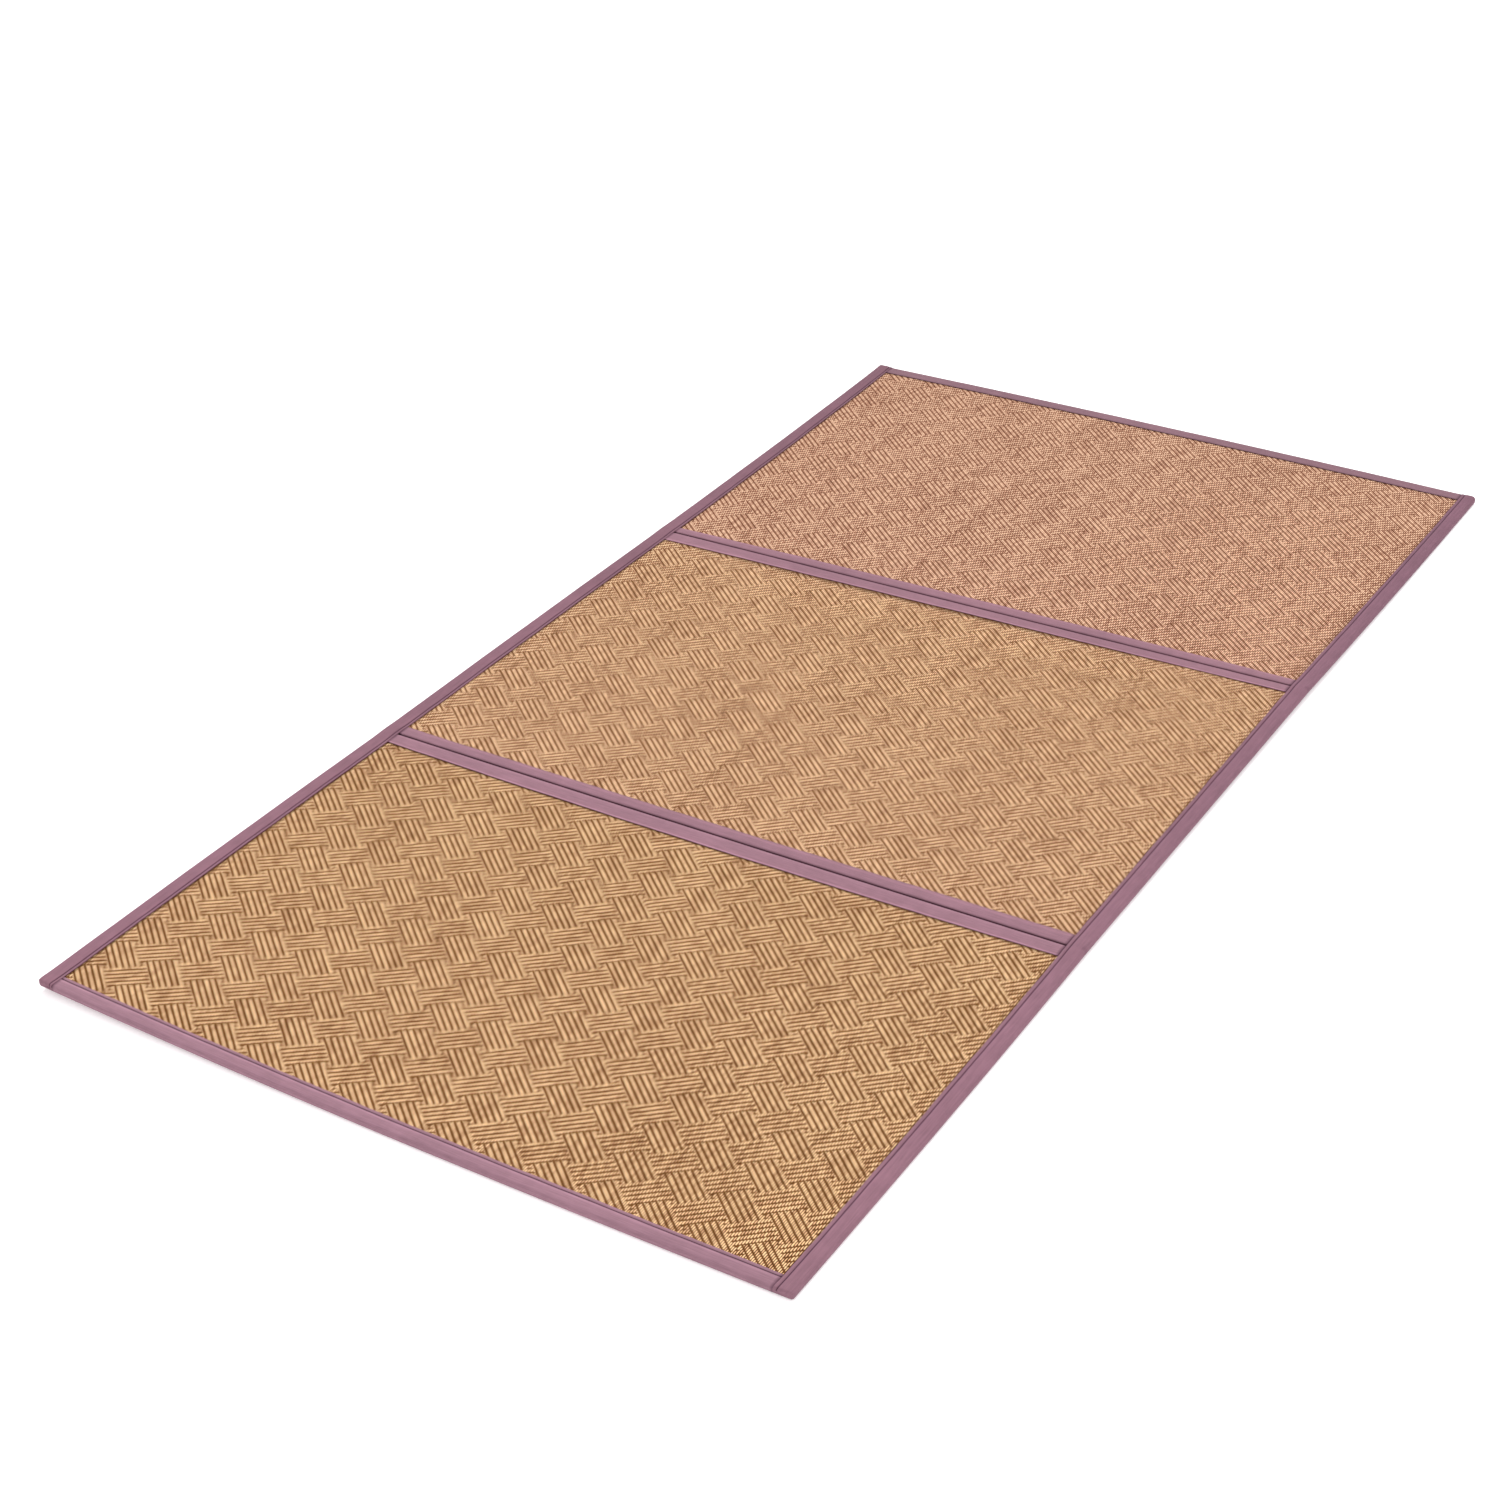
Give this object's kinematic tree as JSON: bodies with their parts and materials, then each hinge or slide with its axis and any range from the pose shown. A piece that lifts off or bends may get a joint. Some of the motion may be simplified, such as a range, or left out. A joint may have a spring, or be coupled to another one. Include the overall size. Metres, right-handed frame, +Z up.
{
  "type": "tatami mat",
  "caption": "Flat woven floor mat in panels that fold onto each other, each edge bound in folded cloth, lying open.",
  "frame": {"origin": "on the floor under the middle of the mat's bounds", "axes": "+X across the mat, +Y along it towards its back end, the one furthest from the camera in the picture, +Z up"},
  "size_m": [1.0042, 1.9075, 0.0156],
  "materials": {
    "straw_front": "woven straw in diagonal ribbed blocks",
    "straw_middle": "woven straw in diagonal ribbed blocks",
    "straw_back": "woven straw in diagonal ribbed blocks",
    "binding_cloth": "matt plain-woven cloth",
    "hinge_cloth": "matt plain-woven cloth in shade"
  },
  "bodies": {
    "root": {"panel_front": "straw_front", "panel_middle": "straw_middle", "panel_back": "straw_back", "binding_front_end": "binding_cloth", "binding_fold_1_front": "binding_cloth", "binding_fold_1_back": "binding_cloth", "binding_fold_2_front": "binding_cloth", "binding_fold_2_back": "binding_cloth", "binding_back_end": "binding_cloth", "binding_left_side": "binding_cloth", "binding_right_side": "binding_cloth", "hinge_strip_1": "hinge_cloth", "hinge_strip_2": "hinge_cloth"}
  },
  "joints": []
}
